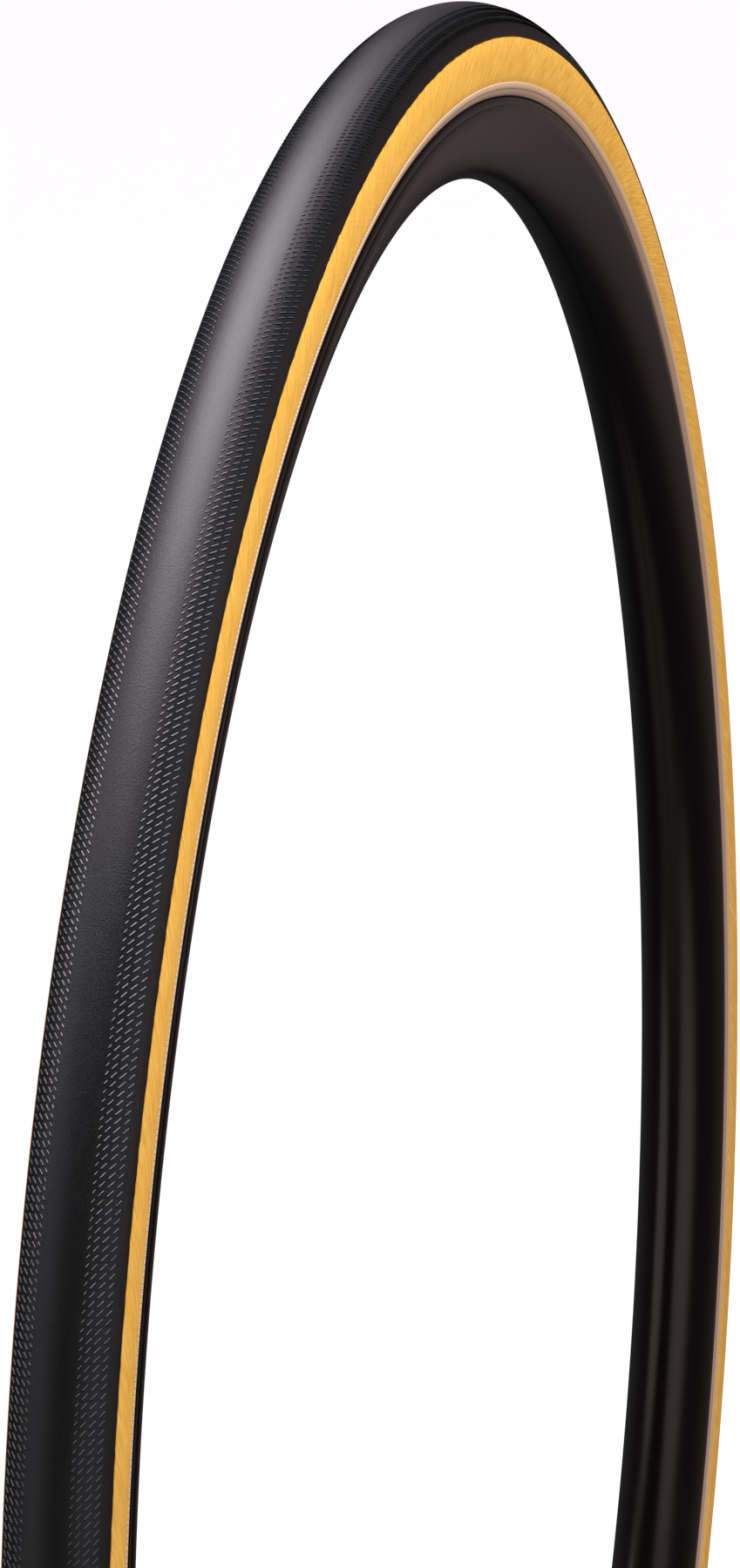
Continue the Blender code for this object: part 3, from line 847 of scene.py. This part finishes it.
def valve_core(brass, seal):
    """The barrel screwed into the stem, and the ring that seals it."""
    shank = STEM_BORE - 0.3
    collar = CORE_COLLAR - 0.2
    core = [(CORE_BORE, 273.5), (collar, 273.5), (CORE_COLLAR, 273.7), (CORE_COLLAR, 275.9)]
    core += [(collar, 276.1), (shank, 276.1)] + outer_levels(shank, 277.2, 280.0, 0.15)
    core += [(1.4, 281.0), (1.4, 287.8), (1.25, 288.0), (CORE_BORE, 288.0)]
    flats = knurled(6, 0.18, 2.3)
    lathe("valve_core_barrel", core, 36, brass, "wheel", "valve_core_body", flats)

    ring = [(1.75, 276.25), (1.9, 276.15), (2.2, 276.15), (2.35, 276.3), (2.35, 276.7)]
    ring += [(2.2, 276.85), (1.9, 276.85), (1.75, 276.75)]
    lathe("valve_core_ring", ring, 36, seal, "wheel", "valve_core_seal")


def valve_pin(brass, seal):
    """The plunger's pin, with its head at the top and its seal's cup at the bottom."""
    pin = [(0.0, 266.6), (0.8, 266.62), (1.1, 266.85), (1.1, 267.2), (PIN_RADIUS, 267.4)]
    pin += outer_levels(PIN_RADIUS, 267.6, 274.0, 0.12) + [(PIN_RADIUS, 289.1)]
    pin += [(1.2, 289.1), (1.35, 289.3), (1.35, 289.75), (1.2, 289.9), (0.0, 289.9)]
    thread = threaded(0.5, 0.12, 267.7, 273.5)
    lathe("valve_pin", pin, 24, brass, "plunger", "valve_plunger", thread)

    pad = [(0.9, 288.3), (1.35, 288.3), (1.5, 288.4), (1.5, 288.7), (1.35, 288.8), (0.9, 288.8)]
    lathe("valve_pin_seal", pad, 24, seal, "plunger", "valve_plunger_seal")


def valve_tip(brass):
    """The small knurled nut that locks the plunger shut."""
    tip = [(0.9, 268.6), (1.45, 268.6), (1.75, 268.8), (TIP_RADIUS, 269.2), (TIP_RADIUS, 271.4)]
    tip += [(1.85, 271.7), (0.9, 271.7)]
    ribs = knurled(18, 0.12, 1.9)
    lathe("valve_tip_nut", tip, 72, brass, "lock_tip", "valve_lock_tip", ribs)


def rim_fixing(metal, seal):
    """The washer on the rim's bed and the knurled nut over it."""
    edge = WASHER_RADIUS - 0.1
    washer = [(3.4, 291.6), (3.5, 291.5), (edge, 291.5), (WASHER_RADIUS, 291.6)]
    washer += [(WASHER_RADIUS, 292.4), (edge, 292.5), (3.5, 292.5), (3.4, 292.4)]
    lathe("valve_washer", washer, 48, seal, "rim_washer", "valve_rim_washer")

    nut = [(PASSAGE_RADIUS, 288.7), (4.4, 288.7), (4.75, 288.9), (NUT_RADIUS, 289.2)]
    nut += [(NUT_RADIUS, 291.0), (4.8, 291.25), (PASSAGE_RADIUS, 291.25)]
    ribs = knurled(36, 0.16, 4.7)
    lathe("valve_ring_nut", nut, 144, metal, "rim_nut", "valve_rim_nut", ribs)


def dust_cap(plastic):
    """The stepped cap, open at its lower end."""
    top = STEM_END - CAP_ABOVE
    cap = [(0.0, top), (1.3, top), (1.9, top + 0.15), (2.35, top + 0.6), (2.9, top + 5.0)]
    cap += [(3.5, top + 6.2), (3.95, top + 7.2), (CAP_RADIUS, top + 8.0), (CAP_RADIUS, top + 18.1)]
    cap += [(3.85, top + 18.5), (3.35, top + 18.5), (PASSAGE_RADIUS, top + 18.3)]
    cap += [(PASSAGE_RADIUS, top + 8.0), (2.4, top + 7.0), (2.4, top + 5.4), (1.8, top + 1.4)]
    cap.append((0.0, top + 1.4))
    ribs = knurled(16, 0.14, 3.9)
    lathe("valve_dust_cap", cap, 96, plastic, "cap", "valve_cap", ribs)


# The stage ------------------------------------------------------------------------------

# Soft lights: direction, degrees where the light starts and where it is full, strength.
OVERHEAD_BOX = ((0.2, 0.15, 1.0), 35.0, 10.0, 10.0)
NEAR_STRIP = ((0.2, -0.9, 0.4), 15.0, 5.0, 3.0)
FAR_STRIP = ((-0.1, 0.8, 0.5), 15.0, 5.0, 5.0)
NEAR_FILL = ((-0.5, -0.8, 0.0), 40.0, 10.0, 0.8)
FAR_FILL = ((-0.7, 0.7, 0.0), 30.0, 10.0, 0.9)
LOW_FILL = ((-0.6, 0.0, -0.8), 50.0, 15.0, 0.2)
WARM_WALL = ((0.9, -0.4, -0.2), 30.0, 10.0, 0.15)
NEAR_ROOM = ((0.1, -1.0, 0.35), 100.0, 20.0, 0.5)
FAR_ROOM = ((0.0, 1.0, 0.35), 100.0, 20.0, 0.9)

# What shiny faces reflect, what lights them and matt faces, and the colours of the light.
REFLECTED_LIGHTS = (OVERHEAD_BOX, NEAR_STRIP, FAR_STRIP, NEAR_FILL, FAR_FILL, LOW_FILL)
REFLECTED_AMBIENT = 0.04
WARM_LIGHTS = (WARM_WALL,)
SOFT_LIGHTS = (NEAR_ROOM, FAR_ROOM)
SOFT_AMBIENT = 0.08
NEUTRAL = (1.0, 0.945, 1.02, 1.0)
WARM = (1.0, 0.70, 0.67, 1.0)
WHITE = (1.0, 1.0, 1.0, 1.0)

KEY_PLACE = (-0.3, -0.7, 0.9)
KEY_AIM = (0.0, 0.0, 0.25)
KEY_SIZE = 0.5
KEY_POWER = 10.0
FLOOR_WIDTH = 12.0
FLOOR_GAP = 0.0005
FLOOR_GLOW = 0.45
CAMERA_PLACE = (-1.82055, -0.44673, 0.55592)
CAMERA_YAW = 0.2481
CAMERA_PITCH = -0.2155
CAMERA_LENS = 178.98
SENSOR_WIDTH = 36.0


def light_ramp(tree, direction, toward, wide, tight, strength):
    """A soft patch of light in the sky round one direction."""
    dot = tree.nodes.new("ShaderNodeVectorMath")
    dot.operation = "DOT_PRODUCT"
    tree.links.new(direction, dot.inputs[0])
    dot.inputs[1].default_value = Vector(toward).normalized()
    ramp = tree.nodes.new("ShaderNodeMapRange")
    ramp.interpolation_type = "SMOOTHSTEP"
    tree.links.new(dot.outputs["Value"], ramp.inputs[0])
    ramp.inputs[1].default_value = math.cos(math.radians(wide))
    ramp.inputs[2].default_value = math.cos(math.radians(tight))
    ramp.inputs[4].default_value = strength
    return ramp.outputs[0]


def link_or_set(tree, socket, value):
    if isinstance(value, float):
        socket.default_value = value
    else:
        tree.links.new(value, socket)


def light_sum(tree, direction, lights, ambient):
    """An even light with soft patches added to it."""
    total = ambient
    for light in lights:
        joined = tree.nodes.new("ShaderNodeMath")
        joined.operation = "ADD"
        tree.links.new(light_ramp(tree, direction, *light), joined.inputs[0])
        link_or_set(tree, joined.inputs[1], total)
        total = joined.outputs[0]
    return total


def choose(tree, share, first, second):
    """The first value where share is 0, the second where it is 1."""
    made = tree.nodes.new("ShaderNodeMix")
    tree.links.new(share, made.inputs["Factor"])
    link_or_set(tree, made.inputs["A"], first)
    link_or_set(tree, made.inputs["B"], second)
    return made.outputs["Result"]


def background(tree, color, strength):
    """One colour of light from all round, at a strength that may vary with direction."""
    made = tree.nodes.new("ShaderNodeBackground")
    made.inputs["Color"].default_value = color
    link_or_set(tree, made.inputs["Strength"], strength)
    return made.outputs[0]


def sky():
    """White behind the object, with soft lights that only the object sees."""
    world = bpy.data.worlds.new("studio")
    bpy.context.scene.world = world
    world.use_nodes = True
    tree = world.node_tree
    direction = tree.nodes.new("ShaderNodeTexCoord").outputs["Generated"]
    path = tree.nodes.new("ShaderNodeLightPath").outputs
    soft = light_sum(tree, direction, SOFT_LIGHTS, SOFT_AMBIENT)
    reflected = light_sum(tree, direction, REFLECTED_LIGHTS, REFLECTED_AMBIENT)
    warm = light_sum(tree, direction, WARM_LIGHTS, 0.0)
    plain = choose(tree, path["Is Glossy Ray"], soft, reflected)
    tinted = choose(tree, path["Is Glossy Ray"], 0.0, warm)
    both = tree.nodes.new("ShaderNodeAddShader")
    tree.links.new(background(tree, NEUTRAL, plain), both.inputs[0])
    tree.links.new(background(tree, WARM, tinted), both.inputs[1])
    shown = tree.nodes.new("ShaderNodeMixShader")
    tree.links.new(path["Is Camera Ray"], shown.inputs[0])
    tree.links.new(both.outputs[0], shown.inputs[1])
    tree.links.new(background(tree, WHITE, 1.0), shown.inputs[2])
    tree.links.new(shown.outputs[0], tree.nodes["World Output"].inputs["Surface"])


def face_along(made, forward):
    """Turns a lamp or a camera to look along a direction, upright."""
    made.rotation_mode = "QUATERNION"
    made.rotation_quaternion = forward.to_track_quat("-Z", "Y")


def key_light():
    """A soft lamp above the wheel's front, on its near side."""
    lamp = bpy.data.lights.new("key", "AREA")
    lamp.size = KEY_SIZE
    lamp.energy = KEY_POWER
    made = bpy.data.objects.new("key", lamp)
    bpy.context.scene.collection.objects.link(made)
    made.location = KEY_PLACE
    face_along(made, Vector(KEY_AIM) - Vector(KEY_PLACE))
    made.visible_camera = False
    made.visible_glossy = False


def floor():
    """A pale floor under the tyre, which doesn't throw light back up at it."""
    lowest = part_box("tread_cap")[0].z
    bpy.ops.mesh.primitive_plane_add(size=FLOOR_WIDTH, location=(0.0, 0.0, lowest - FLOOR_GAP))
    ground = bpy.context.object
    ground.name = "floor"
    paint = Paint("floor")
    paint.finish((0.85, 0.85, 0.85), 0.9, Specular_IOR_Level=0.0)
    paint.give(paint.shader.inputs["Emission Color"], WHITE)
    paint.give(paint.shader.inputs["Emission Strength"], FLOOR_GLOW)
    ground.visible_glossy = False
    ground.visible_diffuse = False
    ground.data.materials.append(paint.material)


def camera():
    """Looks at the wheel's upper part from its front, a little to the near side."""
    data = bpy.data.cameras.new("camera")
    data.lens = CAMERA_LENS
    data.sensor_width = SENSOR_WIDTH
    data.clip_start = 0.05
    made = bpy.data.objects.new("camera", data)
    bpy.context.scene.collection.objects.link(made)
    made.location = CAMERA_PLACE
    level = math.cos(CAMERA_PITCH)
    ahead = (level * math.cos(CAMERA_YAW), level * math.sin(CAMERA_YAW), math.sin(CAMERA_PITCH))
    face_along(made, Vector(ahead))
    bpy.context.scene.camera = made


# Everything together --------------------------------------------------------------------

rubber = tread_rubber()
tread_shoulder("tread_shoulder_near", -1.0, NEAR_EDGE, rubber)
tread_shoulder("tread_shoulder_far", 1.0, FAR_EDGE, rubber)
tread_centre(rubber)
casing(casing_cotton(), plain_cloth("ply_cloth", (0.62, 0.42, 0.16), (0.30, 0.19, 0.07), 4200.0, 1.2))
belt(plain_cloth("belt_cloth", (0.55, 0.52, 0.44), (0.22, 0.21, 0.18), 5200.0, 1.0))
beads(bead_cord())
chafers(chafer_weave())
tube_rubber = soft_rubber("tube_rubber", (0.010, 0.010, 0.011), (0.022, 0.021, 0.021), 0.5)
inner_tube(tube_rubber)
rim(rim_black())
tape(plain_cloth("rim_tape_cloth", (0.05, 0.09, 0.30), (0.02, 0.04, 0.16), 4800.0, 0.0))
metal = machined_metal("valve_metal", (0.62, 0.62, 0.64), (0.80, 0.80, 0.82), 0.18)
brass = machined_metal("core_brass", (0.58, 0.42, 0.16), (0.78, 0.60, 0.28), 0.20)
seal = soft_rubber("seal_rubber", (0.012, 0.012, 0.013), (0.020, 0.020, 0.021), 0.45)
valve_base(tube_rubber)
valve_stem(metal)
valve_core(brass, seal)
valve_pin(brass, seal)
valve_tip(brass)
rim_fixing(metal, seal)
dust_cap(cap_plastic())
sky()
key_light()
floor()
camera()
bpy.context.scene.view_settings.view_transform = "Standard"
